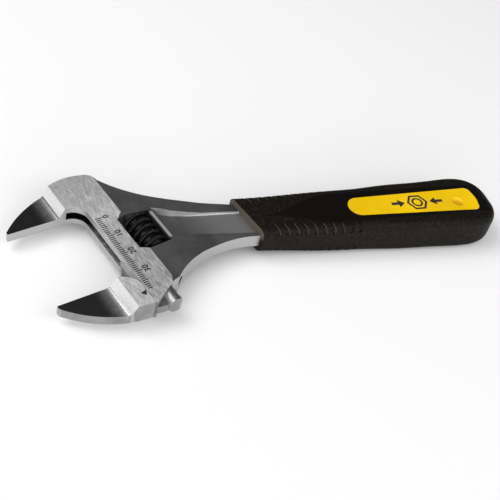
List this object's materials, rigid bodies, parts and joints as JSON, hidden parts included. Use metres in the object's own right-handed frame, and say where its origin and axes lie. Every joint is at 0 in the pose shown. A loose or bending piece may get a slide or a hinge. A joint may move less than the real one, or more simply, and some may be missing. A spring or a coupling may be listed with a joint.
{
  "type": "adjustable wrench",
  "caption": "Slim-jaw wide-opening adjustable wrench with a knurled worm, a millimetre scale on the head and a two-material grip.",
  "frame": {"origin": "middle of the fixed jaw's thin working face", "axes": "+X along the handle towards the grip end, +Z out of the front face with the scale; the wrench lies on its back"},
  "size_m": [0.2056, 0.0714, 0.0152],
  "materials": {
    "wrench_body": "satin",
    "movable_jaw": "satin",
    "worm": "satin",
    "worm_pin": "satin",
    "worm_spring": "satin",
    "grip_core": "satin",
    "grip_sleeve": "matte"
  },
  "bodies": {
    "frame": {"wrench_body": "wrench_body", "worm_pin": "worm_pin", "worm_spring": "worm_spring", "grip_core": "grip_core", "grip_sleeve": "grip_sleeve"},
    "jaw": {"movable_jaw": "movable_jaw"},
    "screw": {"worm": "worm"}
  },
  "joints": [
    {"name": "jaw_slide", "type": "slide", "parent": "frame", "child": "jaw", "axis": [-0.309, 0.9511, 0], "range_m": [0, 0.03895]},
    {"name": "worm_spin", "type": "hinge", "parent": "frame", "child": "screw", "pos_m": [0.04004, -0.00802, 0.0021], "axis": [0.309, -0.9511, 0], "range_deg": [0, 4007]}
  ],
  "couplings": [
    {"joint": "worm_spin", "follows": "jaw_slide", "rad_per_m": 1795.2}
  ]
}
